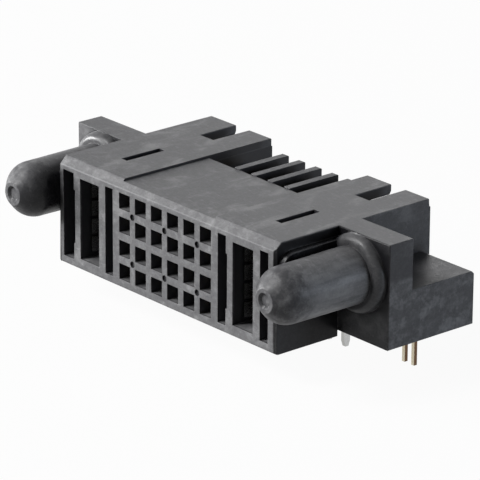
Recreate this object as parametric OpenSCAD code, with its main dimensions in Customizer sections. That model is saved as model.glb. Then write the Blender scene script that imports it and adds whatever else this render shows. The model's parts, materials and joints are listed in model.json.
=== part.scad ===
// Right-angle, board-mount receptacle with two power sections, a block of signal contacts
// between them and two guide posts. Millimetres, +Z up.
// The origin is on the mating face, at mid-width, at the height of the board's surface.
// +X is to the right of someone who looks at the mating face, and +Y runs back from it.

/* [Signal block] */
// Spacing of the signal contacts, across and up
pitch = 2.54; // [2.4:0.02:2.8]
// Side of a square signal opening
cell_w = 1.7; // [1.5:0.05:1.8]
// Height of the contact pattern's middle above the board
mid_z = 5.0; // [4.9:0.05:5.3]
// Depth of the wide part of a signal opening
cell_d = 6.0; // [5:0.25:7]
// Reach of the solid block that holds the signal contacts behind the front block
block_over = 0.76; // [0.5:0.02:1.1]
// Thickness of the signal roof above the top row of openings
over_t = 1.07; // [1:0.01:1.4]
// Radius of the small round dimples in the face
dimple_r = 0.35; // [0.25:0.01:0.4]
// Depth of those dimples
dimple_d = 0.2; // [0.1:0.01:0.4]

/* [Power sections] */
// Width of the wide slot
wide_w = 3.06; // [2.8:0.02:3.4]
// Height of the wide slot
wide_h = 8.74; // [8:0.02:8.9]
// Width of a narrow slot
narrow_w = 1.2; // [1:0.05:1.3]
// Height of a narrow slot
narrow_h = 9.42; // [9:0.02:9.6]
// Extra width on the outer side of the leftmost narrow slot
outer_extra = 0.5; // [0:0.05:0.6]
// Wall between neighbouring slots
slot_wall = 1.05; // [0.9:0.05:1.2]
// Depth of the wide slot
wide_d = 9.5; // [9.4:0.1:10]
// Depth of the narrow slots
narrow_d = 9.5; // [8:0.25:10.5]
// Relief in the inner wall of each left narrow slot: how far it cuts into the wall
relief_w = 0.2; // [0.05:0.05:0.3]
// Height of that relief
relief_h = 5.8; // [5:0.1:7]
// Depth of the walls that the contact plates pass through, behind the wide slot
hold_d = 2.1; // [1.6:0.05:2.2]

/* [Housing] */
// Step up from the signal roof to the raised roofs
roof_step = 0.25; // [0.1:0.01:0.35]
// Drop of the front block below the board's surface
nose_drop = 0.72; // [0.5:0.02:0.9]
// Depth of the front block, where the end blocks begin
nose_d = 8.24; // [7.8:0.05:8.6]
// Depth of the signal roof
sig_roof_d = 11.75; // [11:0.05:12.5]
// Reach of the fins behind the last row of legs
fin_over = 0.67; // [0.4:0.01:1.2]
// Thickness of a fin
fin_w = 0.85; // [0.7:0.05:1.1]
// Step up from the signal roof to the fins' tops
fin_rise = 0.16; // [0.1:0.01:0.35]
// Radius of a fin's top rear corner
fin_r = 0.15; // [0.1:0.05:0.8]
// Reach of the power sections' roofs behind the last row of legs
body_over = 2.69; // [2.3:0.01:3.2]
// Reach of their side walls behind the roofs' ends
wall_over = 0.15; // [0.05:0.01:0.3]
// Bevel along the top front edge, measured on the raised roofs
bevel = 0.8; // [0.5:0.05:1]
// Bevel along the bottom front edge: its length
low_l = 0.45; // [0.3:0.05:0.6]
// Height of that bevel
low_h = 0.27; // [0.15:0.01:0.35]
// Bevel on the right front edge and on the left bottom edge
edge = 0.3; // [0.1:0.05:0.4]
// Thickness of the roof over the rear cavities
roof_t = 0.85; // [0.7:0.05:1]
// Thickness of the walls beside the rear cavities
side_t = 0.95; // [0.8:0.05:1.1]

/* [Roof openings] */
// Length of the narrow slot in each raised roof
vent_l = 5.05; // [4:0.05:5.1]
// Width of that slot
vent_w = 0.88; // [0.5:0.02:1]
// Distance of that slot from the mating face
vent_y = 4.36; // [4:0.02:4.4]
// Width of the notch at the back of each raised roof
notch_w = 2.05; // [1.8:0.05:2.4]
// Length of that notch
notch_l = 4.92; // [4:0.02:5.5]
// Sideways offset of the slot and the notch from the section's middle
roof_off = 0.28; // [0:0.02:0.4]
// Step at the inner rear corner of the right roof: its width
corner_w = 0.45; // [0.2:0.05:0.8]
// Length of that step
corner_l = 2.2; // [1:0.1:3]
// Depth of that step
corner_h = 1.0; // [0.5:0.05:1.5]

/* [End blocks] */
// Width of an end block, beside the front block
end_w = 7.39; // [7:0.01:8]
// Thickness of the upper plate of an end block
plate_d = 3.14; // [2.8:0.02:3.6]
// Height of the lower part of an end block
shelf_z = 5.64; // [5:0.02:6]
// Reach of the lower part behind the last row of legs
shelf_over = 1.99; // [1.4:0.01:2.5]

/* [Guide posts] */
// Radius of a guide post in front of the mating face
post_r = 2.93; // [2.7:0.01:3]
// Growth of that radius from the mating face to the collar, as the moulding's draft
post_draft = 0.06; // [0.02:0.01:0.15]
// Distance of a guide post's axis from the front block's side
post_off = 2.91; // [2.89:0.01:3.2]
// Height of a guide post's axis above the board
post_z = 6.93; // [6.6:0.01:7]
// Reach of a guide post in front of the mating face
post_l = 3.95; // [3.5:0.05:5]
// Length of the cone at a guide post's nose, to where it would meet the straight part
nose_l = 1.5; // [1.3:0.05:2]
// Radius of the round shoulder between that cone and the straight part
nose_r = 2.6; // [1.5:0.1:2.8]
// Radius of the flat on a guide post's tip
tip_r = 1.25; // [1:0.05:1.4]
// Radius of the shallow dish in that flat
dish_r = 0.85; // [0.6:0.05:0.95]
// Depth of that dish
dish = 0.25; // [0.1:0.01:0.4]
// Radius of the collar at a guide post's foot
collar_r = 4.05; // [3.6:0.05:4.1]
// Length of the collar
collar_l = 1.1; // [0.9:0.05:1.5]
// Radius of the collar's rounded edge
collar_edge = 0.8; // [0.4:0.05:0.85]
// Thickness of the web between a guide post and the front block
web_w = 0.8; // [0.6:0.05:1.3]
// Half the height of that web
web_h = 3.0; // [2.8:0.05:3.4]
// Distance of the web's front from the mating face
web_y = 0.45; // [0.2:0.05:2]
// Radius of the web's front corners
web_corner = 1.4; // [0.6:0.1:2]

/* [Signal contacts] */
// Distance of all contacts' tips behind the mating face
tip_y = 1.25; // [1:0.05:1.8]
// Thickness of the metal in the arm and the leg
sig_t = 0.35; // [0.25:0.05:0.45]
// Width of the arm and the leg
leg_w = 0.45; // [0.35:0.05:0.55]
// Distance of the first row of legs behind the signal block
leg_gap = 1.06; // [0.9:0.02:1.4]
// Length of all legs below the board's surface
leg_l = 3.9; // [3:0.1:4.5]
// Inner radius of the bend between the arm and the leg
bend_r = 0.5; // [0.3:0.05:0.8]
// Width of the shank that is pressed into the block
shank_w = 0.9; // [0.8:0.05:1.1]
// Reach of the shank in front of the solid block
shank_l = 2.0; // [1.4:0.1:2.4]
// Height of the shank and the two beams
shank_h = 0.6; // [0.4:0.05:0.8]
// Thickness of a beam where it touches the mating pin
beam_t = 0.28; // [0.2:0.02:0.34]
// Half the gap between the beams there
throat = 0.14; // [0.08:0.02:0.2]
// Half the gap between the beams at their root
root_gap = 0.22; // [0.16:0.02:0.28]
// Outward flare of a beam's tip
flare = 0.2; // [0.1:0.02:0.24]
// Distance from the tips back to that place
touch_l = 1.15; // [0.8:0.05:1.5]

/* [Power contacts] */
// Thickness of a plate
plate_t = 0.45; // [0.35:0.05:0.6]
// Gap between a plate and the side of the wide slot
plate_side = 0.055; // [0.045:0.005:0.1]
// Distance of a plate's edges from the top and the bottom of the wide slot
plate_margin = 0.6; // [0.4:0.05:1]
// Height of a plate's lower edge above the board
plate_lift = 0.3; // [0.1:0.05:0.6]
// Reach of a plate behind the middle of its last tail
plate_over = 0.8; // [0.5:0.05:1.2]
// Distance that the beams bow towards the middle of the slot
bow = 0.4; // [0.2:0.02:0.5]
// Distance from a beam's tip back to its bow
bow_l = 1.7; // [1.2:0.05:2.4]
// Reach of the solid plate into the wide slot, behind its beams
root_l = 1.0; // [0.5:0.1:2]
// Bevel on a plate's top rear corner
plate_bevel = 1.0; // [0.5:0.1:2]
// Gap between two beams of a plate
beam_gap = 0.35; // [0.2:0.05:0.5]
// Width of a tail
tail_w = 0.8; // [0.5:0.05:1]
// Length of a tail's pointed end
point_l = 0.6; // [0.3:0.05:1]

/* [Board locks] */
// Sideways offset of a board lock from its end block's middle
lock_off = 0.1; // [0:0.05:0.4]
// Distance of a board lock from the mating face
lock_y = 14.5; // [13:0.1:16]
// Distance between the middles of its legs
lock_gap = 1.35; // [1:0.05:1.8]
// Thickness of a leg, both ways
lock_leg = 0.4; // [0.3:0.05:0.6]
// Length of a leg below the board's surface
lock_l = 3.95; // [3:0.05:4.5]
// Height of the plate pressed into the end block
lock_h = 2.6; // [2:0.1:3.5]
// Height of the plate's lower edge above the board
lock_lift = 0.4; // [0.2:0.05:0.8]

/* [Fits] */
// Clearance between a contact or a board lock and its seat
fit = 0.03; // [0.02:0.005:0.04]

/* [Hidden] */
$fn = 48;
eps = 0.01;
sides = [-1, 1];
rows = 4;
cols = 6;
// Power tails stand in line with the three rear rows of signal legs
tail_rows = [1, 2, 3];
// Columns and rows: row 1 is the top row, and its legs are furthest back
function col_x(c) = (c - (cols + 1) / 2) * pitch;
function row_z(r) = mid_z + ((rows + 1) / 2 - r) * pitch;
function row_y(r) = block_d + leg_gap + (rows - r) * pitch;
// Places across the width
sig_half = (cols - 1) * pitch / 2 + cell_w / 2;
section_x = sig_half + 2 * slot_wall + narrow_w + wide_w / 2;
section_half = wide_w / 2 + 2 * slot_wall + narrow_w;
body_x = section_x + section_half;
inner_x = section_x - section_half;
narrow_x = wide_w / 2 + slot_wall + narrow_w / 2;
end_x = body_x + end_w;
post_x = body_x + post_off;
plate_x = (wide_w - plate_t) / 2 - plate_side;
lock_x = (body_x + end_x) / 2 + lock_off;
lock_w = lock_gap + lock_leg;
// Places in the depth
block_d = nose_d + block_over;
fin_d = row_y(1) + fin_over;
body_d = row_y(1) + body_over;
shelf_d = row_y(1) + shelf_over;
cavity_y = wide_d + hold_d;
// Heights
sig_roof_z = row_z(1) + cell_w / 2 + over_t;
roof_z = sig_roof_z + roof_step;
fin_z = sig_roof_z + fin_rise;
slit_h = wide_h - 2 * plate_margin;
face_top = roof_z - bevel;
// Steepness of a guide post's cone, and where the post's straight part begins
nose_a = atan2(post_r - tip_r, nose_l);
nose_end = -post_l + nose_l + nose_r * tan(nose_a / 2);

// A box between two corners
module span(a, b) {
    translate(a) cube([b[0] - a[0], b[1] - a[1], b[2] - a[2]]);
}

// An outline drawn in Y and Z, run along X from x0 to x1
module along_x(x0, x1) {
    translate([x0, 0, 0]) rotate([90, 0, 90]) linear_extrude(x1 - x0) children();
}

// The front block's outline from the side, with the bevels on its top and bottom front edges
module nose_outline(top) {
    polygon([[0, -nose_drop + low_h], [low_l, -nose_drop], [nose_d, -nose_drop],
             [nose_d, top], [top - face_top, top], [0, face_top]]);
}

// One power section from the mating face to the ends of its tongues
module section_body() {
    along_x(-section_half, section_half) nose_outline(roof_z);
    span([-section_half, nose_d - eps, 0], [section_half, body_d, roof_z]);
    span([-section_half, nose_d - eps, 0], [section_half, body_d + wall_over, roof_z - roof_t]);
}

// Slots in the face, cavities behind and openings in the roof of one power section
module section_cuts(extra) {
    // Wide slot
    span([-wide_w / 2, -eps, mid_z - wide_h / 2], [wide_w / 2, wide_d, mid_z + wide_h / 2]);
    // Narrow slots
    span([-narrow_x - narrow_w / 2 - extra, -eps, mid_z - narrow_h / 2],
         [-narrow_x + narrow_w / 2, narrow_d, mid_z + narrow_h / 2]);
    span([narrow_x - narrow_w / 2, -eps, mid_z - narrow_h / 2],
         [narrow_x + narrow_w / 2, narrow_d, mid_z + narrow_h / 2]);
    // Relief in the left one's inner wall
    span([-narrow_x, -eps, mid_z - relief_h / 2],
         [-narrow_x + narrow_w / 2 + relief_w, narrow_d, mid_z + relief_h / 2]);
    // Slits that hold the two contact plates
    for (s = sides) translate([s * plate_x, 0, 0])
        span([-plate_t / 2 - fit, wide_d - eps, mid_z - slit_h / 2],
             [plate_t / 2 + fit, cavity_y + eps, mid_z + slit_h / 2]);
    // Rear cavity, open behind and below, with a bevel under the tongues' ends
    along_x(-section_half + side_t, section_half - side_t) polygon([
        [cavity_y, -eps], [body_d + wall_over + eps, -eps],
        [body_d + wall_over + eps, roof_z - roof_t + edge], [body_d, roof_z - roof_t + edge],
        [body_d - edge, roof_z - roof_t], [cavity_y, roof_z - roof_t]]);
    // Narrow slot in the roof, down to the wide slot
    span([roof_off - vent_w / 2, vent_y, mid_z], [roof_off + vent_w / 2, vent_y + vent_l, roof_z + eps]);
    // Notch between the rear tongues
    span([roof_off - notch_w / 2, body_d - notch_l, roof_z - 2 * roof_t],
         [roof_off + notch_w / 2, body_d + eps, roof_z + eps]);
}

// The block with the signal openings, its roof and the comb of fins behind it
module signal_body() {
    along_x(-inner_x - eps, inner_x + eps) nose_outline(sig_roof_z);
    span([-inner_x - eps, nose_d - eps, 0], [inner_x + eps, block_d, sig_roof_z]);
    span([-inner_x - eps, block_d - eps, row_z(1) + cell_w / 2], [inner_x + eps, sig_roof_d, sig_roof_z]);
    for (k = [2:cols - 1]) translate([col_x(k) + pitch / 2, 0, 0]) along_x(-fin_w / 2, fin_w / 2) fin_outline();
}

// A fin from the side: it runs below the signal roof and stands a little higher behind it
module fin_outline() {
    polygon(concat(
        [[block_d - eps, 0], [fin_d, 0]],
        [for (a = [0:15:90]) [fin_d - fin_r + fin_r * cos(a), fin_z - fin_r + fin_r * sin(a)]],
        [[sig_roof_d - eps, fin_z], [sig_roof_d - eps, sig_roof_z - eps], [block_d - eps, sig_roof_z - eps]]));
}

// The square opening of one signal contact and the hole for its shank
module cell_cut() {
    span([-cell_w / 2, -eps, -cell_w / 2], [cell_w / 2, cell_d, cell_w / 2]);
    w = shank_w / 2 + fit;
    h = shank_h / 2 + fit;
    span([-w, cell_d - eps, -h], [w, block_d + eps, h]);
}

// Six shallow round dimples where the walls between openings cross
module face_dimples() {
    for (c = [1:2:cols - 1], r = [1:2:rows - 1])
        translate([col_x(c) + pitch / 2, -eps, row_z(r) - pitch / 2])
            rotate([-90, 0, 0]) cylinder(r = dimple_r, h = dimple_d + eps, $fn = 24);
}

// A square bar along Z, turned so that it cuts a small bevel on an edge
module edge_bar(l) {
    linear_extrude(l) rotate(45) square(edge * sqrt(2), center = true);
}

// The end block on the right: upper plate and lower part
module end_block() {
    span([body_x - eps, nose_d, 0], [end_x, nose_d + plate_d, roof_z]);
    along_x(body_x - eps, end_x) polygon([
        [nose_d + eps, 0], [shelf_d, 0], [shelf_d, shelf_z - edge], [shelf_d - edge, shelf_z],
        [nose_d + eps, shelf_z]]);
}

// The right guide post with its collar, and the web that joins it to the front block
module guide_post() {
    steps = 6;
    translate([post_x, 0, post_z]) rotate([-90, 0, 0]) {
        rotate_extrude() polygon(concat(
            [[0, -post_l + dish], [dish_r - dish, -post_l + dish], [dish_r, -post_l], [tip_r, -post_l]],
            [for (k = [steps:-1:0]) [post_r - nose_r * (1 - cos(k / steps * nose_a)),
                                     nose_end - nose_r * sin(k / steps * nose_a)]],
            [[post_r, 0], [post_r + post_draft, nose_d + eps], [0, nose_d + eps]]));
        rotate_extrude() polygon(concat(
            [[0, nose_d + eps], [0, nose_d - collar_l], [collar_r - collar_edge, nose_d - collar_l]],
            [for (a = [15:15:90]) [collar_r - collar_edge + collar_edge * sin(a),
                                   nose_d - collar_l + collar_edge * (1 - cos(a))]],
            [[collar_r, nose_d + eps]]));
    }
    along_x(body_x - eps, body_x + web_w) web_outline();
}

// The web from the side, with its two front corners rounded
module web_outline() {
    r = web_corner;
    polygon(concat(
        [[nose_d + eps, post_z - web_h]],
        [[nose_d + eps, post_z + web_h]],
        [for (a = [90:15:180]) [web_y + r + r * cos(a), post_z + web_h - r + r * sin(a)]],
        [for (a = [180:15:270]) [web_y + r + r * cos(a), post_z - web_h + r + r * sin(a)]]));
}

// The pocket in an end block's underside that a board lock is pressed into
module lock_pocket() {
    translate([lock_x, lock_y, 0])
        span([-lock_w / 2 - fit, -lock_leg / 2 - fit, -eps],
             [lock_w / 2 + fit, lock_leg / 2 + fit, lock_h + fit]);
}

module housing() {
    color([0.10, 0.10, 0.11]) difference() {
        union() {
            // The two power sections, with bevels on the right front edge and the left bottom edge
            difference() {
                for (s = sides) translate([s * section_x, 0, 0]) section_body();
                translate([body_x, 0, -nose_drop - eps]) edge_bar(roof_z + nose_drop + 2 * eps);
                translate([-body_x, -eps, -nose_drop]) rotate([-90, 0, 0]) edge_bar(nose_d + eps);
            }
            signal_body();
            for (s = sides) mirror([(1 - s) / 2, 0, 0]) {
                end_block();
                guide_post();
            }
        }
        translate([-section_x, 0, 0]) section_cuts(outer_extra);
        translate([section_x, 0, 0]) section_cuts(0);
        // Step at the inner rear corner of the right roof
        translate([inner_x, body_d, roof_z]) cube([2 * corner_w, 2 * corner_l, 2 * corner_h], center = true);
        for (r = [1:rows], c = [1:cols]) translate([col_x(c), 0, row_z(r)]) cell_cut();
        face_dimples();
        for (s = sides) mirror([(1 - s) / 2, 0, 0]) lock_pocket();
    }
}

// The two beams of a signal contact and its shank, drawn in X and Y
module beam_outline() {
    root = cell_d - shank_l;
    back = (cell_d + block_d) / 2;
    for (s = sides) scale([s, 1]) polygon([
        [0, back], [shank_w / 2, back], [shank_w / 2, root], [throat + beam_t, tip_y + touch_l],
        [throat + beam_t + flare, tip_y], [throat + beam_t, tip_y], [throat, tip_y + touch_l],
        [root_gap, root], [0, root + root_gap]]);
}

// A signal contact's arm and leg from the side, drawn in Y and Z from the row's height
module leg_outline(r) {
    back = row_y(r) + sig_t / 2;
    bottom = -row_z(r) - leg_l;
    bend_y = back - sig_t - bend_r;
    bend_z = -sig_t / 2 - bend_r;
    polygon(concat(
        [[cell_d, -sig_t / 2]],
        [for (a = [90:-15:0]) [bend_y + bend_r * cos(a), bend_z + bend_r * sin(a)]],
        [[back - sig_t, bottom + sig_t], [back - sig_t * 3 / 4, bottom], [back - sig_t / 4, bottom],
         [back, bottom + sig_t]],
        [for (a = [0:15:90]) [bend_y + (bend_r + sig_t) * cos(a), bend_z + (bend_r + sig_t) * sin(a)]],
        [[cell_d, sig_t / 2]]));
}

module signal_contact(r, c) {
    color([0.83, 0.62, 0.25]) translate([col_x(c), 0, row_z(r)]) {
        translate([0, 0, -shank_h / 2]) linear_extrude(shank_h) beam_outline();
        along_x(-leg_w / 2, leg_w / 2) leg_outline(r);
        span([-shank_w / 2, cell_d, -sig_t / 2], [shank_w / 2, block_d, sig_t / 2]);
    }
}

// A power contact's plate from the side: a body with tails below
module plate_outline() {
    h = slit_h / 2 - fit;
    seat = cavity_y + fit;
    back = row_y(1) + plate_over;
    polygon([[wide_d - root_l, mid_z - h], [seat, mid_z - h], [seat, plate_lift], [back, plate_lift],
             [back, mid_z + h - plate_bevel], [back - plate_bevel, mid_z + h], [wide_d - root_l, mid_z + h]]);
    for (r = tail_rows) translate([row_y(r), 0]) polygon([
        [-tail_w / 2, plate_lift + eps], [-tail_w / 2, point_l - leg_l], [-tail_w / 4, -leg_l],
        [tail_w / 4, -leg_l], [tail_w / 2, point_l - leg_l], [tail_w / 2, plate_lift + eps]]);
}

// A power contact's beam from above, bowed towards the middle of the slot
module bow_outline() {
    t = plate_t / 2;
    thin = plate_t / 3;
    root = wide_d - root_l;
    polygon([[-t, root + eps], [t, root + eps], [t, root - root_l], [t - thin - bow, tip_y + bow_l],
             [t - thin, tip_y], [thin - t, tip_y], [-t - bow, tip_y + bow_l], [-t, root - root_l]]);
}

module power_contact(section, side) {
    beams = 4;
    h = slit_h - 2 * fit;
    beam_h = (h - (beams - 1) * beam_gap) / beams;
    color([0.72, 0.72, 0.70]) translate([section * section_x + side * plate_x, 0, 0]) {
        along_x(-plate_t / 2, plate_t / 2) plate_outline();
        for (k = [0:beams - 1]) translate([0, 0, mid_z - h / 2 + k * (beam_h + beam_gap)])
            linear_extrude(beam_h) scale([side, 1]) bow_outline();
    }
}

module board_lock(side) {
    color([0.80, 0.60, 0.28]) translate([side * lock_x, lock_y, 0]) {
        span([-lock_w / 2, -lock_leg / 2, lock_lift], [lock_w / 2, lock_leg / 2, lock_h]);
        for (s = sides) translate([s * lock_gap / 2, 0, 0])
            span([-lock_leg / 2, -lock_leg / 2, -lock_l], [lock_leg / 2, lock_leg / 2, lock_lift + eps]);
    }
}

housing();
for (r = [1:rows], c = [1:cols])
    signal_contact(r, c);
power_contact(-1, -1);  // power_contact_left_a
power_contact(-1, 1);  // power_contact_left_b
power_contact(1, -1);  // power_contact_right_a
power_contact(1, 1);  // power_contact_right_b
board_lock(-1);  // board_lock_left
board_lock(1);  // board_lock_right
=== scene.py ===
"""Looks for a right-angle power and signal receptacle: housing, contacts, board locks and stage."""
import json
import math

import bmesh
import bpy
from bpy.props import FloatProperty, FloatVectorProperty, PointerProperty
from mathutils import Matrix, Vector


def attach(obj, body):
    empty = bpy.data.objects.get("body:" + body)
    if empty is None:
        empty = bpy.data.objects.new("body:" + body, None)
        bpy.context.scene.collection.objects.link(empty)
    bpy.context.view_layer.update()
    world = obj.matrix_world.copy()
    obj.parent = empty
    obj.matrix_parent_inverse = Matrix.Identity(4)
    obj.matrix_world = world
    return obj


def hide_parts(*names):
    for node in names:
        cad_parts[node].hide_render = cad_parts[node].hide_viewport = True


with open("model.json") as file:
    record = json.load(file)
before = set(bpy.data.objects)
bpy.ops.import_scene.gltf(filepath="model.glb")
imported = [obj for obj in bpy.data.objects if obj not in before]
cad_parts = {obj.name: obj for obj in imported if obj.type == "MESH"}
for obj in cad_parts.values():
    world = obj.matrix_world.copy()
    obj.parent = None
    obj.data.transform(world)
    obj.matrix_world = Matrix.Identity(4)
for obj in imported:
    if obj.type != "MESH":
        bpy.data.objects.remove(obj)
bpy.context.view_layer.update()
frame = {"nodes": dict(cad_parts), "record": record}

bl_info = {
    "name": "Power and Signal Receptacle",
    "version": (1, 0, 0),
    "blender": (4, 5, 0),
    "location": "3D View > Sidebar > Receptacle",
    "description": "Dresses the receptacle's packed parts and sets its stage",
    "category": "Object",
}

MM = 0.001
NODES = frame["nodes"]
SLOT_COLOURS = {entry["slot"]: tuple(entry["base_color"][:3]) for entry in frame["record"]["materials"]}
SIGNAL_CONTACTS = sorted(name for name in NODES if name.startswith("signal_contact"))
POWER_CONTACTS = sorted(name for name in NODES if name.startswith("power_contact"))
BOARD_LOCKS = sorted(name for name in NODES if name.startswith("board_lock"))

# Places on the moulding

# The part that holds its openings, cavities and comb
SHELTER = {
    "half_width": 16.8 * MM, "front": 0.05 * MM, "back": 20.37 * MM, "bottom": -0.5 * MM, "top": 10.3 * MM}
# The ceilings of the rear cavities, and how much lower the copy has them
TONGUE = {
    "ceiling": 10.13 * MM, "front": 9.0 * MM, "back": 20.2 * MM, "inner": 8.0 * MM, "outer": 16.0 * MM,
    "deeper": 0.2 * MM, "tolerance": 0.01 * MM}
# The top front bevel, paler partly from rubbing and partly as painted light that fades from left to right:
# its reach back, its lower edge, and where the paleness fades
BEVEL = {"depth": 0.85 * MM, "height": 10.1 * MM, "start": -8.0 * MM, "end": 11.0 * MM, "softness": 0.3 * MM}
# The two guide posts and their collars, the front block's ends beside them and the faces behind them
POSTS = {
    "post_x": 19.77 * MM, "post_z": 6.93 * MM, "radius": 2.95 * MM, "inner": 16.8 * MM, "back": 8.24 * MM,
    "collar": 4.15 * MM, "collar_length": 1.15 * MM}
# Where a mask starts and where it is full
ZONES = {
    # Back from the mating face
    "nose": (0.5 * MM, -1.0 * MM),
    "post_length": (-2.5 * MM, 1.0 * MM),
    "pocket_depth": (0.0, 2.0 * MM),
    # Forward from the faces behind the posts
    "before_plate": (0.0, 0.1 * MM),
    "on_plate": (0.1 * MM, 0.02 * MM),
    # Right of the middle
    "right_half": (0.0, 1.0 * MM),
    # Out from the middle, to both sides
    "fin_rows": (7.2 * MM, 7.1 * MM),
    "end_face": (24.1 * MM, 24.2 * MM),
    # Out from the front block's ends
    "off_block": (0.0, 0.05 * MM),
    "web_near_side": (0.3 * MM, 0.5 * MM),
    "web_far_side": (1.2 * MM, 1.0 * MM),
    # Out from the posts' axes
    "towards_block": (-0.6 * MM, -2.7 * MM),
    "post_outside": (0.0, 2.5 * MM),
    # Up from the posts' axes
    "plate_foot": (-4.2 * MM, -2.5 * MM),
    # Up from the board
    "lower_end_bounce": (7.4 * MM, 6.4 * MM),
    "upper_end_darker": (6.8 * MM, 7.4 * MM),
    "fin_top": (10.78 * MM, 10.86 * MM)}
# Where the painted sheen on the posts and the patches on the end faces change from faint on the left to full
# on the right, and how faint they are
RIGHTWARD = (-1.0 * MM, 1.0 * MM)
FAINT = 0.3
# Widths of a mask's soft border
SEAM = 0.1 * MM
FINE_SEAM = 0.05 * MM

# Directions of faces, as the upward or sideways part of their normal where a mask starts and is full

LYING = (0.5, 0.8)
UPRIGHT = (0.5, 0.2)
SIDEWAYS = (0.6, 0.9)

# Textures

# Detail, roughness and distortion of each noise, and the values where its mask starts and is full
NOISES = {
    "mottle": (4.0, 0.55, 0.0, 0.3, 0.7),
    "wear": (3.0, 0.6, 0.0, 0.35, 0.65),
    "smears": (5.0, 0.65, 0.4, 0.48, 0.72),
    "flecks": (4.0, 0.7, 0.0, 0.54, 0.68),
    "rubbing": (4.0, 0.6, 0.0, 0.38, 0.62),
    "patches": (6.0, 0.65, 0.0, 0.47, 0.66),
    "streaks": (3.0, 0.5, 0.0, 0.3, 0.7)}
# How each drawn-out texture is turned and stretched
SMEAR_DRAW = {"Rotation": (0.3, 0.2, 0.5), "Scale": (1.0, 0.5, 1.0)}
FLECK_DRAW = {"Rotation": (0.0, 0.0, 0.25), "Scale": (0.45, 1.0, 1.0)}
STREAK_DRAW = {"Scale": (1.0, 0.15, 1.0)}
ROLLING_DRAW = {"Scale": (1.0, 0.04, 1.0)}
# Where flecks are gone and where they are full, as shares of their reach
FLECK_FADE = (1.0, 0.1)
# How alike the rounded and the true normal are where edge wear starts and where it is full
EDGE_LIKENESS = (0.995, 0.80)
# How open a place is where a crease starts and where it is full
CREASE_OPENNESS = (0.97, 0.60)
# How far the walls of the roof's cut-outs lie behind the front face, and before the back one, in softnesses
WALL_START, WALL_FULL = 4.0, 8.0

# The plastic

# Haze that all of it has, and what each effect adds; the bevel's share is partly painted light, the posts'
# share is painted sheen, and the end patches are partly painted bounce light
BARE_HAZE = 0.07
HAZE = {
    "smears": 0.34, "mottle": 0.14, "grain": 0.34, "wear": 0.14, "bevel": 0.07, "flecks": 0.20,
    "end_patches_and_bounce": 0.32, "specks": 0.15, "post_sheen": 0.56}
# The share of the haze that each place lacks, and how much of it comes back where a nose is rubbed; in the
# pockets and creases the lack is painted shade
NOSE_DULL, RUBBED_BACK = 0.70, 0.65
# High on the end faces the haze is thinned and low on them patches are added: partly haze, partly painted
# bounce light from the floor
DULL = {"upper_end_darker": 0.5, "fin_top": 0.35}
SHADE_THINNED = {"pockets": 0.85, "creases": 0.8}
# How far the painted shade takes each place to the shade colour
SHADE_DARKENED = {"creases": 0.8, "pockets": 0.9}
# How much of the painted shade in the creases and the pockets the rims leave out
RIM_OFF_CREASES, RIM_OFF_POCKETS = 0.8, 0.6
# Roughness from the smoothest grain to the roughest, and how much smoother other places are
GRAIN_ROUGHNESS = (0.50, 0.62)
SMOOTHER_INSIDE, SMOOTHER_HANDLED = 0.2, 0.14
# How much of the grain joins a mottle or rolling lines
GRAIN_SHARE = 0.4

# The plated metals

# The second tint and its least share, the roughness, how dark the painted shade in the openings makes it and
# at what depth that starts, and the axis that the sheared sides face
PLATING = {
    "gold_plating": {"tint": (0.72, 0.50, 0.20), "share": 0.0, "roughness": 0.30, "shade_strength": 0.5,
                     "depth": 1.6 * MM, "edge_axis": "Y"},
    "tin_plating": {"tint": (0.88, 0.88, 0.87), "share": 0.7, "roughness": 0.24, "shade_strength": 0.88,
                    "depth": 0.5 * MM, "edge_axis": "Y"},
    "board_lock_brass": {"tint": (0.90, 0.86, 0.72), "share": 0.6, "roughness": 0.30, "shade_strength": 0.0,
                         "depth": 1.6 * MM, "edge_axis": "X"}}
# How far the mottle adds to the second tint
TONE_SHARE = 0.3
# The rolling lines' noise values that give the smoothest and the roughest metal, and how far that goes
ROLLING = (0.2, 0.8)
SMOOTHEST, ROUGHEST = -0.07, 0.09
# The black that the painted shade takes the plating to
BLACK = (0.0, 0.0, 0.0)

# Rounding of the moulding's copy

# Corners nearer than this are merged, and faces this flat to each other joined
MERGE_DISTANCE = 0.002 * MM
FLAT_ANGLE = math.radians(0.3)
# Edges sharper and longer than this are rounded, and edges less sharp than the last angle are shaded smooth
SHARP_ANGLE = math.radians(25)
SHORTEST_EDGE = 0.15 * MM
SMOOTH_ANGLE = math.radians(35)
# An outer edge's least length and its faces' least width, in radii
LONG_EDGE, WIDE_FACE = 3, 2.5
ROUND_SEGMENTS = 3

# The stage

# Where the lamps point, and how far from there they stand
AIM = Vector((0, 8 * MM, 5 * MM))
LAMP_DISTANCE = 0.6
WHITE = (1.0, 1.0, 1.0)
PALE_BLUE = (0.80, 0.88, 1.0)
# Each lamp's azimuth and elevation in degrees, its width in metres and its colour
LAMPS = {
    "key": (-62, 1, 0.22, WHITE),
    "front": (-45, 25, 0.22, WHITE),
    "overhead": (-30, 45, 0.18, WHITE),
    "side": (125, 7, 0.22, PALE_BLUE),
    "rear": (-140, 10, 0.22, WHITE)}
# The camera's sensor in mm, the nearest that it sees, and half the floor's width
SENSOR_WIDTH = 36
CLIP_START = 0.01
FLOOR_HALF_SIZE = 3.0
# The floor's grey in bounced light, how much paler the camera sees it, and the share of plain white it sees
BOUNCE_GREY, SEEN_PALER, SEEN_WHITE = 0.3, 0.5, 0.95


# Sizes and colours that a user would change

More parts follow.
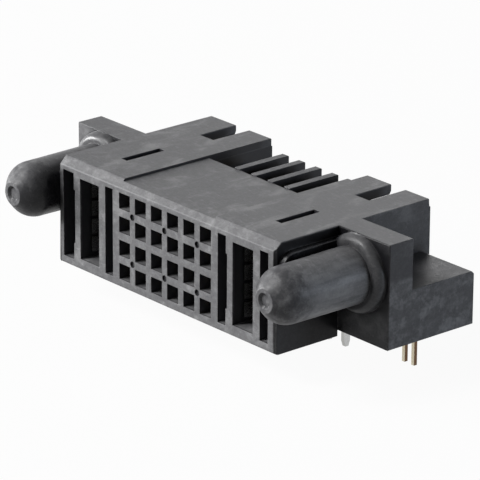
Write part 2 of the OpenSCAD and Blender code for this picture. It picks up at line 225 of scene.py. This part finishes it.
class ReceptacleFinish(bpy.types.PropertyGroup):
    """Colours of the finish, and the sizes of its rounding and wear"""
    plastic: FloatVectorProperty(
        name="Plastic", description="Colour of the moulded housing", subtype="COLOR", size=3,
        min=0, max=1, default=SLOT_COLOURS["black_plastic"])
    haze: FloatVectorProperty(
        name="Haze", description="Colour of the pale haze on the plastic's faces", subtype="COLOR", size=3,
        min=0, max=1, default=(0.34, 0.34, 0.345))
    # Painted shade: the near-black colour that the creases and pockets take where shade falls
    shade_colour: FloatVectorProperty(
        name="Painted Shade", description="Colour of the plastic in pockets and creases", subtype="COLOR", size=3,
        min=0, max=1, default=(0.012, 0.012, 0.014))
    gold: FloatVectorProperty(
        name="Gold", description="Colour of the signal contacts' plating", subtype="COLOR", size=3,
        min=0, max=1, default=SLOT_COLOURS["gold_plating"])
    tin: FloatVectorProperty(
        name="Tin", description="Colour of the power contacts' plating", subtype="COLOR", size=3,
        min=0, max=1, default=SLOT_COLOURS["tin_plating"])
    brass: FloatVectorProperty(
        name="Brass", description="Colour of the board locks", subtype="COLOR", size=3,
        min=0, max=1, default=SLOT_COLOURS["board_lock_brass"])
    sheared: FloatVectorProperty(
        name="Sheared", description="Colour of the board locks' sheared sides", subtype="COLOR", size=3,
        min=0, max=1, default=(0.20, 0.12, 0.07))
    edge_round: FloatProperty(
        name="Edge Rounding", description="Radius of the moulding's outer edges", unit="LENGTH",
        min=0, default=0.12 * MM)
    mouth_round: FloatProperty(
        name="Mouth Rounding", description="Radius of the edges round the openings and of small steps",
        unit="LENGTH", min=0, default=0.04 * MM)
    wear_width: FloatProperty(
        name="Wear Width", description="Width of the pale wear along the moulding's edges", unit="LENGTH",
        min=0, default=0.14 * MM)


class ReceptacleStage(bpy.types.PropertyGroup):
    """The camera, the floor, the lamps and the surroundings"""
    azimuth: FloatProperty(
        name="Azimuth", description="Direction of the camera round the receptacle", subtype="ANGLE",
        default=math.radians(49.36))
    elevation: FloatProperty(
        name="Elevation", description="Height angle of the camera", subtype="ANGLE",
        default=math.radians(20.39))
    roll: FloatProperty(
        name="Roll", description="Turn of the camera about its own axis", subtype="ANGLE",
        default=math.radians(0.33))
    eye: FloatVectorProperty(
        name="Eye", description="Place of the camera", subtype="TRANSLATION", size=3,
        default=(0.2833, -0.2332, 0.1430))
    lens: FloatProperty(
        name="Lens", description="Focal length on a 36 mm sensor, in mm", min=1, default=293.8)
    board_height: FloatProperty(
        name="Board Height", description="Height of the board's surface over the floor", unit="LENGTH",
        default=3.95 * MM)
    key: FloatProperty(
        name="Key", description="Power of the low lamp at the front left, in watts", min=0, default=7.3)
    front: FloatProperty(
        name="Front", description="Power of the lamp above the key, in watts", min=0, default=0.8)
    overhead: FloatProperty(
        name="Overhead", description="Power of the lamp high in front, in watts", min=0, default=2.45)
    side: FloatProperty(
        name="Side", description="Power of the lamp behind the right end, in watts", min=0, default=0.95)
    rear: FloatProperty(
        name="Rear", description="Power of the lamp behind the left end, in watts", min=0, default=0.5)
    fill: FloatProperty(
        name="Fill", description="Light that the white surroundings give", min=0, max=1, default=0.0)
    gloss: FloatProperty(
        name="Gloss", description="Share of the white surroundings that gloss reflects", min=0, max=1,
        default=0.5)


# Shader nodes

def put(tree, kind, sockets=None, **settings):
    """Add a node, give it its settings, and link or set its input sockets."""
    made = tree.nodes.new(kind)
    for name, value in settings.items():
        setattr(made, name, value)
    for name, value in (sockets or {}).items():
        if isinstance(value, bpy.types.NodeSocket):
            tree.links.new(value, made.inputs[name])
        else:
            made.inputs[name].default_value = value
    return made


def maths(tree, operation, *values, clamp=False):
    """A Math node's result for one to three numbers or sockets."""
    made = put(tree, "ShaderNodeMath", dict(enumerate(values)), operation=operation, use_clamp=clamp)
    return made.outputs[0]


def product(tree, *masks):
    """Several masks multiplied together."""
    result = masks[0]
    for mask in masks[1:]:
        result = maths(tree, "MULTIPLY", result, mask)
    return result


def greatest(tree, *masks):
    """The greatest of several masks."""
    result = masks[0]
    for mask in masks[1:]:
        result = maths(tree, "MAXIMUM", result, mask)
    return result


def without(tree, mask):
    """1 where a mask is 0, and 0 where it is 1."""
    return maths(tree, "SUBTRACT", 1.0, mask)


def add_shares(tree, start, shares, masks, clamp=False):
    """A start value plus the named share of each mask."""
    total = start
    for name, share in shares.items():
        total = maths(tree, "MULTIPLY_ADD", masks[name], share, total, clamp=clamp)
    return total


def ramp(tree, value, low, high, out_low=0.0, out_high=1.0):
    """A value taken smoothly from one range to another."""
    made = put(tree, "ShaderNodeMapRange", {
        "Value": value, "From Min": low, "From Max": high, "To Min": out_low, "To Max": out_high},
        interpolation_type="SMOOTHSTEP")
    return made.outputs["Result"]


def zone(tree, value, name):
    """A mask for a place that starts and is full where the list of zones says."""
    return ramp(tree, value, *ZONES[name])


def exceeds(tree, greater, lesser, width):
    """1 where the first value exceeds the second by a width or more, and 0 where it doesn't exceed it."""
    return ramp(tree, maths(tree, "SUBTRACT", greater, lesser), 0.0, width)


def axes(tree, vector):
    """A vector's part along each axis."""
    return put(tree, "ShaderNodeSeparateXYZ", {"Vector": vector}).outputs


def surface_normal(tree):
    """The surface's normal, along each axis."""
    return axes(tree, put(tree, "ShaderNodeNewGeometry").outputs["Normal"])


def drawn_out(tree, vector, draw):
    """Coordinates turned and stretched for a drawn-out texture."""
    return put(tree, "ShaderNodeMapping", {"Vector": vector, **draw}).outputs["Vector"]


def noise(tree, vector, size, detail=2.0, roughness=0.5, distortion=0.0):
    """Noise with features of about a size in metres, which may be a number or a socket."""
    scale = maths(tree, "DIVIDE", 1.0, size) if isinstance(size, bpy.types.NodeSocket) else 1 / size
    return put(tree, "ShaderNodeTexNoise", {
        "Vector": vector, "Scale": scale, "Detail": detail, "Roughness": roughness,
        "Distortion": distortion}).outputs["Fac"]


def noise_mask(tree, vector, size, kind):
    """A mask from one of the listed noises."""
    *texture, low, high = NOISES[kind]
    return ramp(tree, noise(tree, vector, size, *texture), low, high)


def blend_colour(tree, mask, first, second):
    """The first colour where the mask is 0 and the second where it is 1."""
    # A Mix node repeats its sockets' names for each kind of value, so they go by number
    made = put(tree, "ShaderNodeMix", data_type="RGBA")
    for socket, value in ((made.inputs[0], mask), (made.inputs[6], first), (made.inputs[7], second)):
        if isinstance(value, bpy.types.NodeSocket):
            tree.links.new(value, socket)
        else:
            socket.default_value = (*value, 1) if hasattr(value, "__len__") else value
    return made.outputs[2]


def bumped(tree, height, distance, strength):
    """The normal that a height gives."""
    return put(tree, "ShaderNodeBump", {
        "Height": height, "Distance": distance, "Strength": strength}).outputs["Normal"]


# Shared shader groups

def new_group(name, inputs, outputs):
    """An empty shader group with named sockets, what its inputs give and what its outputs take."""
    tree = bpy.data.node_groups.new(name, "ShaderNodeTree")
    for in_out, sockets in (("INPUT", inputs), ("OUTPUT", outputs)):
        for socket in sockets:
            kind = "NodeSocketVector" if socket == "Vector" else "NodeSocketFloat"
            tree.interface.new_socket(socket, in_out=in_out, socket_type=kind)
    return tree, tree.nodes.new("NodeGroupInput").outputs, tree.nodes.new("NodeGroupOutput").inputs


def grain_group(name):
    """Fine grain and soft mottle of a surface."""
    tree, given, result = new_group(name, ["Vector", "Grain Size", "Mottle Size"], ["Height", "Mottle"])
    grain = noise(tree, given["Vector"], given["Grain Size"], detail=3.0, roughness=0.6)
    tree.links.new(grain, result["Height"])
    tree.links.new(noise_mask(tree, given["Vector"], given["Mottle Size"], "mottle"), result["Mottle"])
    return tree


def wear_group(name):
    """Pale wear where edges stand out, broken up by noise."""
    tree, given, result = new_group(name, ["Vector", "Width", "Break Up"], ["Mask"])
    rounded = put(tree, "ShaderNodeBevel", {"Radius": given["Width"]}, samples=6).outputs["Normal"]
    facing = put(tree, "ShaderNodeNewGeometry").outputs["Normal"]
    likeness = put(tree, "ShaderNodeVectorMath", {0: rounded, 1: facing}, operation="DOT_PRODUCT")
    edge = ramp(tree, likeness.outputs["Value"], *EDGE_LIKENESS)
    broken = noise_mask(tree, given["Vector"], given["Break Up"], "wear")
    tree.links.new(product(tree, edge, broken), result["Mask"])
    return tree


def smear_group(name):
    """Faint handling marks: soft smears."""
    tree, given, result = new_group(name, ["Vector", "Size"], ["Mask"])
    drawn = drawn_out(tree, given["Vector"], SMEAR_DRAW)
    tree.links.new(noise_mask(tree, drawn, given["Size"], "smears"), result["Mask"])
    return tree


def fleck_group(name):
    """Small pale flecks, longer across than deep, thinning out behind the front edge."""
    tree, given, result = new_group(name, ["Vector", "Size", "Reach"], ["Mask"])
    drawn = drawn_out(tree, given["Vector"], FLECK_DRAW)
    spots = noise_mask(tree, drawn, given["Size"], "flecks")
    depth = maths(tree, "DIVIDE", axes(tree, given["Vector"])["Y"], given["Reach"])
    tree.links.new(product(tree, spots, ramp(tree, depth, *FLECK_FADE)), result["Mask"])
    return tree


def bevel_group(name):
    """1 on the top front bevel, less towards its end: partly rubbing, partly painted light."""
    tree, given, result = new_group(
        name, ["Vector", "Depth", "Height", "Start", "End", "Softness"], ["Mask"])
    place = axes(tree, given["Vector"])
    high = exceeds(tree, place["Z"], given["Height"], given["Softness"])
    near = exceeds(tree, given["Depth"], place["Y"], given["Softness"])
    along = ramp(tree, place["X"], given["End"], given["Start"])
    tree.links.new(product(tree, high, near, along), result["Mask"])
    return tree


def crease_shade_group(name):
    """1 in creases and corners and 0 on open faces: painted shade, which reaches further over lying faces as
    a painted shadow.
    """
    tree, given, result = new_group(name, ["Reach", "Lying Reach"], ["Mask"])
    lying = ramp(tree, surface_normal(tree)["Z"], *LYING)
    reach = maths(tree, "MULTIPLY_ADD", lying, given["Lying Reach"], given["Reach"])
    openness = put(tree, "ShaderNodeAmbientOcclusion", {"Distance": reach}, samples=8, only_local=True)
    tree.links.new(ramp(tree, openness.outputs["AO"], *CREASE_OPENNESS), result["Mask"])
    return tree


def opening_shade_group(name):
    """1 inside the openings and cavities and on the walls of the roof's cut-outs, 0 on the outer faces: a
    mask for painted shade, which on lying faces comes in over the mouth's greater depth.
    """
    tree, given, result = new_group(
        name, ["Vector", "Half Width", "Front", "Back", "Bottom", "Top", "Mouth", "Softness"], ["Mask"])
    place = axes(tree, given["Vector"])
    upward = surface_normal(tree)["Z"]
    soft = given["Softness"]
    within = exceeds(tree, given["Half Width"], maths(tree, "ABSOLUTE", place["X"]), soft)
    reach = maths(tree, "MULTIPLY_ADD", ramp(tree, upward, *LYING), given["Mouth"], soft)
    inside = product(
        tree, exceeds(tree, place["Y"], given["Front"], reach),
        exceeds(tree, place["Z"], given["Bottom"], soft), exceeds(tree, given["Top"], place["Z"], soft))
    wall_start = maths(tree, "MULTIPLY", soft, WALL_START)
    wall_full = maths(tree, "MULTIPLY", soft, WALL_FULL)
    near_top = exceeds(tree, maths(tree, "ADD", place["Z"], soft), given["Top"], soft)
    walls = product(
        tree, ramp(tree, upward, *UPRIGHT), near_top, ramp(tree, place["Y"], wall_start, wall_full),
        exceeds(tree, given["Back"], place["Y"], wall_full))
    tree.links.new(product(tree, within, greatest(tree, inside, walls)), result["Mask"])
    return tree


def pocket_group(name):
    """Masks for the painted shade round the guide posts, the posts' outer sides, and the rims.

    The painted shade fills the pockets and the posts' sides towards the front block, and lies as a painted
    shadow of the front block on the face behind the right post. The rims are the collars, the webs' outer
    sides and what looks up in the pockets, which the painted shade in the pockets partly leaves out."""
    tree, given, result = new_group(
        name, ["Vector", "Post X", "Post Z", "Radius", "Inner", "Back", "Collar", "Collar Length"],
        ["Mask", "Post", "Rim"])
    place = axes(tree, given["Vector"])
    outward = maths(tree, "ABSOLUTE", place["X"])
    from_block = maths(tree, "SUBTRACT", outward, given["Inner"])
    from_plate = maths(tree, "SUBTRACT", given["Back"], place["Y"])
    across = maths(tree, "SUBTRACT", outward, given["Post X"])
    above = maths(tree, "SUBTRACT", place["Z"], given["Post Z"])
    squares = maths(tree, "ADD", product(tree, across, across), product(tree, above, above))
    from_axis = maths(tree, "SQRT", squares)
    off_post = exceeds(tree, from_axis, given["Radius"], SEAM)
    off_block = zone(tree, from_block, "off_block")
    before_plate = zone(tree, from_plate, "before_plate")

    pocket = product(tree, off_post, zone(tree, place["Y"], "pocket_depth"), before_plate)
    collar = product(
        tree, off_post, exceeds(tree, given["Collar"], from_axis, FINE_SEAM),
        exceeds(tree, given["Collar Length"], from_plate, FINE_SEAM), before_plate)
    web = product(tree, zone(tree, from_block, "web_near_side"), zone(tree, from_block, "web_far_side"))
    lying = ramp(tree, surface_normal(tree)["Z"], *LYING)
    rim = greatest(tree, collar, product(tree, pocket, greatest(tree, web, lying)))
    pocket_shade = product(tree, pocket, maths(tree, "MULTIPLY_ADD", rim, -RIM_OFF_POCKETS, 1.0))
    # Painted shade on the posts' sides that face the front block
    block_side_shade = product(tree, zone(tree, across, "towards_block"), before_plate)
    # Painted shadow of the front block on the face behind the right post
    block_shadow = product(
        tree, zone(tree, maths(tree, "ABSOLUTE", from_plate), "on_plate"),
        zone(tree, place["X"], "right_half"), zone(tree, above, "plate_foot"))
    post = product(
        tree, without(tree, off_post), before_plate, zone(tree, place["Y"], "post_length"),
        zone(tree, across, "post_outside"))

    post_shade = greatest(tree, pocket_shade, block_side_shade, block_shadow)
    for socket, mask in (("Mask", post_shade), ("Post", post), ("Rim", rim)):
        tree.links.new(product(tree, off_block, mask), result[socket])
    return tree


GROUPS = {
    "fine_grain": grain_group, "edge_wear": wear_group, "handling_marks": smear_group,
    "pale_flecks": fleck_group, "rubbed_bevel": bevel_group, "unrubbed_creases": crease_shade_group,
    "sheltered_places": opening_shade_group, "post_pockets": pocket_group}


def use_group(tree, name, **sockets):
    """Place a shared shader group, made on first use, with its inputs given by name."""
    group = bpy.data.node_groups.get(name) or GROUPS[name](name)
    inputs = {socket.replace("_", " ").title(): value for socket, value in sockets.items()}
    return put(tree, "ShaderNodeGroup", inputs, node_tree=group).outputs


# Materials

def new_material(name):
    """A material, its tree, its Principled BSDF and the Object coordinates."""
    material = bpy.data.materials.new(name)
    material.use_nodes = True
    tree = material.node_tree
    tree.nodes.clear()
    shader = put(tree, "ShaderNodeBsdfPrincipled")
    put(tree, "ShaderNodeOutputMaterial", {"Surface": shader.outputs["BSDF"]})
    place = put(tree, "ShaderNodeTexCoord").outputs["Object"]
    return material, tree, shader, place


def painted_shade_masks(tree, place, posts):
    """The painted shade: one mask for the missing haze in the openings, pockets and creases, and one for the
    darker plastic.
    """
    shelter = dict(SHELTER, vector=place, softness=0.25 * MM)
    openings = use_group(tree, "sheltered_places", mouth=4.5 * MM, **shelter)["Mask"]
    block = use_group(tree, "sheltered_places", mouth=0.0, **shelter)["Mask"]
    creases = use_group(tree, "unrubbed_creases", reach=2.8 * MM, lying_reach=5.5 * MM)["Mask"]
    left_out = maths(tree, "MULTIPLY_ADD", posts["Rim"], RIM_OFF_CREASES, block, clamp=True)
    masks = {"pockets": posts["Mask"], "creases": product(tree, creases, without(tree, left_out))}
    inside = add_shares(tree, openings, SHADE_THINNED, masks, clamp=True)
    shade_dark = add_shares(tree, 0.0, SHADE_DARKENED, masks, clamp=True)
    return inside, shade_dark


def haze_mask(tree, finish, place, grain, posts, nose):
    """How much pale haze the plastic's outside has, with painted light on the bevel, painted sheen on the
    posts and painted bounce light low on the end faces.
    """
    spot = axes(tree, place)
    outward = maths(tree, "ABSOLUTE", spot["X"])
    rightward = ramp(tree, spot["X"], *RIGHTWARD, FAINT, 1.0)
    # Paler patches low on the end faces and less haze high up: partly haze, partly painted bounce light from
    # the floor
    end_face = zone(tree, outward, "end_face")
    lower_end_bounce = product(tree, end_face, zone(tree, spot["Z"], "lower_end_bounce"))
    patches = product(tree, noise_mask(tree, place, 1.4 * MM, "patches"), rightward)
    drawn = drawn_out(tree, place, STREAK_DRAW)
    streaks = product(tree, noise_mask(tree, drawn, 0.9 * MM, "streaks"), rightward)
    wear = use_group(tree, "edge_wear", vector=place, width=finish.wear_width, break_up=0.8 * MM)
    masks = {
        "smears": use_group(tree, "handling_marks", vector=place, size=2.4 * MM)["Mask"],
        "mottle": grain["Mottle"],
        "grain": grain["Height"],
        "wear": wear["Mask"],
        "bevel": use_group(tree, "rubbed_bevel", vector=place, **BEVEL)["Mask"],
        "flecks": use_group(tree, "pale_flecks", vector=place, size=0.6 * MM, reach=7.0 * MM)["Mask"],
        "end_patches_and_bounce": product(tree, lower_end_bounce, patches),
        "specks": use_group(tree, "pale_flecks", vector=place, size=0.42 * MM, reach=90.0 * MM)["Mask"],
        # Painted sheen: pale streaks along the posts' outer sides, full on the right post
        "post_sheen": product(tree, posts["Post"], streaks),
        "upper_end_darker": product(tree, end_face, zone(tree, spot["Z"], "upper_end_darker")),
        "fin_top": product(tree, zone(tree, outward, "fin_rows"), zone(tree, spot["Z"], "fin_top"))}
    rubbed = noise_mask(tree, place, 1.0 * MM, "rubbing")
    nose_dull = product(tree, nose, maths(tree, "MULTIPLY_ADD", rubbed, -RUBBED_BACK, NOSE_DULL))
    dull = add_shares(tree, nose_dull, DULL, masks, clamp=True)
    return product(tree, add_shares(tree, BARE_HAZE, HAZE, masks), without(tree, dull))


def plastic_material(finish):
    """Matt black moulding compound: fine grain, haze and worn edges outside, painted light on the top bevel,
    painted sheen on the posts, and painted shade that darkens the pockets, creases and openings.
    """
    material, tree, shader, place = new_material("moulded_black_plastic")
    grain = use_group(tree, "fine_grain", vector=place, grain_size=0.20 * MM, mottle_size=0.7 * MM)
    posts = use_group(tree, "post_pockets", vector=place, **POSTS)
    nose = zone(tree, axes(tree, place)["Y"], "nose")
    # Painted shade: the openings, pockets and creases lose their haze and darken where shade falls
    inside, shade_dark = painted_shade_masks(tree, place, posts)
    haze = product(tree, haze_mask(tree, finish, place, grain, posts, nose), without(tree, inside))
    # Painted shade: the plastic goes near black in the creases and pockets
    clean = blend_colour(tree, shade_dark, finish.plastic, finish.shade_colour)
    tree.links.new(blend_colour(tree, haze, clean, finish.haze), shader.inputs["Base Color"])
    uneven = maths(tree, "MULTIPLY_ADD", grain["Height"], GRAIN_SHARE, grain["Mottle"])
    rough = ramp(tree, uneven, 0.0, 1.0 + GRAIN_SHARE, *GRAIN_ROUGHNESS)
    rough = maths(tree, "MULTIPLY_ADD", inside, -SMOOTHER_INSIDE, rough)
    handled = greatest(tree, posts["Post"], nose, posts["Rim"])
    rough = maths(tree, "MULTIPLY_ADD", handled, -SMOOTHER_HANDLED, rough)
    tree.links.new(rough, shader.inputs["Roughness"])
    tree.links.new(bumped(tree, grain["Height"], distance=0.012 * MM, strength=0.5), shader.inputs["Normal"])
    shader.inputs["IOR"].default_value = 1.5
    shader.inputs["Specular IOR Level"].default_value = 0.25
    return material


def plated_material(name, colour, edge_colour):
    """Stamped and plated metal: rolling lines, a change of tone, sheared sides, and painted shade that
    darkens it in the openings.
    """
    look = PLATING[name]
    material, tree, shader, place = new_material(name)
    grain = use_group(tree, "fine_grain", vector=place, grain_size=0.16 * MM, mottle_size=1.4 * MM)
    rolling = noise(tree, drawn_out(tree, place, ROLLING_DRAW), 0.05 * MM)
    tone = maths(tree, "MULTIPLY_ADD", grain["Mottle"], TONE_SHARE, look["share"], clamp=True)
    plating = blend_colour(tree, tone, colour, look["tint"])
    sideways = maths(tree, "ABSOLUTE", surface_normal(tree)[look["edge_axis"]])
    plating = blend_colour(tree, ramp(tree, sideways, *SIDEWAYS), plating, edge_colour)
    # Painted shade: the plating goes towards black in the openings
    shade = use_group(
        tree, "sheltered_places", vector=place, mouth=0.3 * MM, softness=look["depth"], **SHELTER)["Mask"]
    plating = blend_colour(tree, maths(tree, "MULTIPLY", shade, look["shade_strength"]), plating, BLACK)
    tree.links.new(plating, shader.inputs["Base Color"])
    rough = ramp(tree, rolling, *ROLLING, look["roughness"] + SMOOTHEST, look["roughness"] + ROUGHEST)
    tree.links.new(rough, shader.inputs["Roughness"])
    height = maths(tree, "MULTIPLY_ADD", grain["Height"], GRAIN_SHARE, rolling)
    tree.links.new(bumped(tree, height, distance=0.004 * MM, strength=0.35), shader.inputs["Normal"])
    shader.inputs["Metallic"].default_value = 1.0
    return material


def paint(obj, material):
    """Give every material slot of an object one material."""
    if not obj.material_slots:
        obj.data.materials.append(material)
    for holder in obj.material_slots:
        holder.material = material


# Meshes

def object_from(shape, name):
    """An object in the scene made from a bmesh, which is freed."""
    mesh = bpy.data.meshes.new(name)
    shape.to_mesh(mesh)
    shape.free()
    made = bpy.data.objects.new(name, mesh)
    bpy.context.scene.collection.objects.link(made)
    return made


def finish_mesh(shape, name, body="root"):
    """Turn a bmesh into a piece that rides on the receptacle."""
    piece = object_from(shape, name)
    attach(piece, body)
    return piece


def sheltered(place):
    """Whether a point lies inside the moulding's outline, in an opening, a cavity or the comb."""
    return (abs(place.x) < SHELTER["half_width"] and place.y > SHELTER["front"]
            and SHELTER["bottom"] < place.z < SHELTER["top"])


def is_tongue_underside(place):
    """Whether a corner of the moulding lies on the ceiling of a rear cavity."""
    return (abs(place.z - TONGUE["ceiling"]) < TONGUE["tolerance"]
            and TONGUE["front"] < place.y < TONGUE["back"]
            and TONGUE["inner"] < abs(place.x) < TONGUE["outer"])


def slimness(face):
    """About how wide a face is across its longest edge."""
    return face.calc_area() / max(edge.calc_length() for edge in face.edges)


def is_outer(edge, radius):
    """Whether an edge stands out, is long, and lies between wide faces outside the openings."""
    return (edge.is_convex and edge.calc_length() > LONG_EDGE * radius
            and all(slimness(face) > WIDE_FACE * radius and not sheltered(face.calc_center_median())
                    for face in edge.link_faces))


def moulded_copy(node, outer, mouth):
    """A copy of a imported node's mesh, with its outer edges rounded more than those of its openings."""
    shape = bmesh.new()
    shape.from_mesh(NODES[node].data)
    bmesh.ops.remove_doubles(shape, verts=shape.verts, dist=MERGE_DISTANCE)
    bmesh.ops.dissolve_limit(shape, angle_limit=FLAT_ANGLE, verts=shape.verts, edges=shape.edges)
    for corner in shape.verts:
        if is_tongue_underside(corner.co):
            corner.co.z -= TONGUE["deeper"]
    clear = [edge for edge in shape.edges
             if edge.calc_length() > SHORTEST_EDGE and edge.calc_face_angle(0) > SHARP_ANGLE]
    main = [edge for edge in clear if is_outer(edge, outer)]
    chosen = set(main)
    fine = [edge for edge in clear if edge not in chosen]
    for edges, radius in ((main, outer), (fine, mouth)):
        bmesh.ops.bevel(
            shape, geom=[edge for edge in edges if edge.is_valid], offset=radius, offset_type="OFFSET",
            segments=ROUND_SEGMENTS, profile=0.5, affect="EDGES", clamp_overlap=False, material=-1)
    for face in shape.faces:
        face.smooth = True
    for edge in shape.edges:
        edge.smooth = edge.calc_face_angle(0) < SMOOTH_ANGLE
    return shape


# Lamps and surroundings

def direction(turn, rise):
    """The unit vector towards an azimuth and an elevation in radians, from the front turning right."""
    return Vector((math.sin(turn) * math.cos(rise), -math.cos(turn) * math.cos(rise), math.sin(rise)))


def seen_directly(tree, gloss):
    """How much of the white backdrop a ray sees: all of it from the camera, a share of it off gloss."""
    path = put(tree, "ShaderNodeLightPath").outputs
    direct = maths(tree, "MAXIMUM", path["Is Camera Ray"], path["Is Transmission Ray"])
    return maths(tree, "MAXIMUM", direct, maths(tree, "MULTIPLY", path["Is Glossy Ray"], gloss))


def soft_lamp(name, azimuth, elevation, size, colour, watts):
    """A square soft lamp that faces the receptacle from a direction given in degrees."""
    away = direction(math.radians(azimuth), math.radians(elevation))
    data = bpy.data.lights.new(name, "AREA")
    data.size = size
    data.energy = watts
    data.color = colour
    lamp = bpy.data.objects.new(name, data)
    lamp.location = AIM + away * LAMP_DISTANCE
    lamp.rotation_euler = away.to_track_quat("Z", "Y").to_euler()
    bpy.context.scene.collection.objects.link(lamp)


def backdrop_material(gloss):
    """White to the camera, with a faint shadow of what stands on it, and a plain pale bounce."""
    material = bpy.data.materials.new("pale_floor")
    material.use_nodes = True
    tree = material.node_tree
    tree.nodes.clear()
    direct = seen_directly(tree, gloss)
    tone = maths(tree, "MULTIPLY_ADD", direct, SEEN_PALER, BOUNCE_GREY)
    pale = put(tree, "ShaderNodeCombineColor", {"Red": tone, "Green": tone, "Blue": tone}).outputs[0]
    white = put(tree, "ShaderNodeEmission", {"Color": (*WHITE, 1), "Strength": 1.0}).outputs[0]
    matt = put(tree, "ShaderNodeBsdfDiffuse", {"Color": pale}).outputs[0]
    share = maths(tree, "MULTIPLY", direct, SEEN_WHITE)
    mixed = put(tree, "ShaderNodeMixShader", {0: share, 1: matt, 2: white})
    put(tree, "ShaderNodeOutputMaterial", {"Surface": mixed.outputs[0]})
    return material


# Operators

class RECEPTACLE_OT_housing(bpy.types.Operator):
    """Dress the moulded housing: softened edges, matt black plastic, haze and worn edges"""
    bl_idname = "receptacle.housing"
    bl_label = "Housing"

    def execute(self, context):
        finish = context.scene.receptacle_finish
        shape = moulded_copy("housing", finish.edge_round, finish.mouth_round)
        piece = finish_mesh(shape, "moulded_housing")
        level = piece.modifiers.new("level_faces", "WEIGHTED_NORMAL")
        level.weight = 100
        level.keep_sharp = True
        paint(piece, plastic_material(finish))
        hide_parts("housing")
        return {"FINISHED"}


class RECEPTACLE_OT_signal_contacts(bpy.types.Operator):
    """Plate the signal contacts with gold"""
    bl_idname = "receptacle.signal_contacts"
    bl_label = "Signal Contacts"

    def execute(self, context):
        finish = context.scene.receptacle_finish
        gold = plated_material("gold_plating", finish.gold, edge_colour=finish.gold)
        for name in SIGNAL_CONTACTS:
            paint(NODES[name], gold)
        return {"FINISHED"}


class RECEPTACLE_OT_power_contacts(bpy.types.Operator):
    """Plate the power contacts with tin"""
    bl_idname = "receptacle.power_contacts"
    bl_label = "Power Contacts"

    def execute(self, context):
        finish = context.scene.receptacle_finish
        tin = plated_material("tin_plating", finish.tin, edge_colour=finish.tin)
        for name in POWER_CONTACTS:
            paint(NODES[name], tin)
        return {"FINISHED"}


class RECEPTACLE_OT_board_locks(bpy.types.Operator):
    """Give the board locks their brass"""
    bl_idname = "receptacle.board_locks"
    bl_label = "Board Locks"

    def execute(self, context):
        finish = context.scene.receptacle_finish
        brass = plated_material("board_lock_brass", finish.brass, edge_colour=finish.sheared)
        for name in BOARD_LOCKS:
            paint(NODES[name], brass)
        return {"FINISHED"}


class RECEPTACLE_OT_stage(bpy.types.Operator):
    """Set the camera, the floor, the lamps and the white surroundings"""
    bl_idname = "receptacle.stage"
    bl_label = "Stage"

    def execute(self, context):
        scene = context.scene
        stage = scene.receptacle_stage
        self.add_camera(scene, stage)
        self.add_floor(stage)
        self.add_light(scene, stage)
        return {"FINISHED"}

    def add_camera(self, scene, stage):
        back = direction(stage.azimuth, stage.elevation)
        across = Vector((math.cos(stage.azimuth), math.sin(stage.azimuth), 0))
        upward = back.cross(across)
        right = across * math.cos(stage.roll) + upward * math.sin(stage.roll)
        up = upward * math.cos(stage.roll) - across * math.sin(stage.roll)
        data = bpy.data.cameras.new("camera")
        data.lens = stage.lens
        data.sensor_width = SENSOR_WIDTH
        data.clip_start = CLIP_START
        camera = bpy.data.objects.new("camera", data)
        camera.matrix_world = Matrix.Translation(stage.eye) @ Matrix((right, up, back)).transposed().to_4x4()
        scene.collection.objects.link(camera)
        scene.camera = camera

    def add_floor(self, stage):
        shape = bmesh.new()
        bmesh.ops.create_grid(shape, x_segments=1, y_segments=1, size=FLOOR_HALF_SIZE)
        bmesh.ops.translate(shape, verts=shape.verts, vec=(0, 0, -stage.board_height))
        floor = object_from(shape, "floor")
        paint(floor, backdrop_material(stage.gloss))

    def add_light(self, scene, stage):
        world = bpy.data.worlds.new("white_surroundings")
        scene.world = world
        world.use_nodes = True
        tree = world.node_tree
        tree.nodes.clear()
        strength = maths(tree, "MULTIPLY_ADD", seen_directly(tree, stage.gloss), 1 - stage.fill, stage.fill)
        sky = put(tree, "ShaderNodeBackground", {"Color": (*WHITE, 1), "Strength": strength})
        put(tree, "ShaderNodeOutputWorld", {"Surface": sky.outputs[0]})
        for name, lamp in LAMPS.items():
            soft_lamp(name, *lamp, watts=getattr(stage, name))
        scene.view_settings.view_transform = "Standard"


class RECEPTACLE_PT_panel(bpy.types.Panel):
    """Buttons for the receptacle's pieces"""
    bl_idname = "RECEPTACLE_PT_panel"
    bl_label = "Receptacle"
    bl_space_type = "VIEW_3D"
    bl_region_type = "UI"
    bl_category = "Receptacle"

    def draw(self, context):
        layout = self.layout
        for group in (context.scene.receptacle_finish, context.scene.receptacle_stage):
            column = layout.column()
            for name in group.__annotations__:
                column.prop(group, name)
        for operator in OPERATORS:
            layout.operator(operator.bl_idname)


OPERATORS = (
    RECEPTACLE_OT_stage, RECEPTACLE_OT_housing, RECEPTACLE_OT_signal_contacts, RECEPTACLE_OT_power_contacts,
    RECEPTACLE_OT_board_locks)
CLASSES = (ReceptacleFinish, ReceptacleStage, *OPERATORS, RECEPTACLE_PT_panel)


def register():
    for cls in CLASSES:
        bpy.utils.register_class(cls)
    bpy.types.Scene.receptacle_finish = PointerProperty(type=ReceptacleFinish)
    bpy.types.Scene.receptacle_stage = PointerProperty(type=ReceptacleStage)


def unregister():
    del bpy.types.Scene.receptacle_stage
    del bpy.types.Scene.receptacle_finish
    for cls in reversed(CLASSES):
        bpy.utils.unregister_class(cls)


def main():
    register()
    bpy.ops.receptacle.stage()
    bpy.ops.receptacle.housing()
    bpy.ops.receptacle.signal_contacts()
    bpy.ops.receptacle.power_contacts()
    bpy.ops.receptacle.board_locks()
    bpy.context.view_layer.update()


if __name__ == "__main__":
    main()
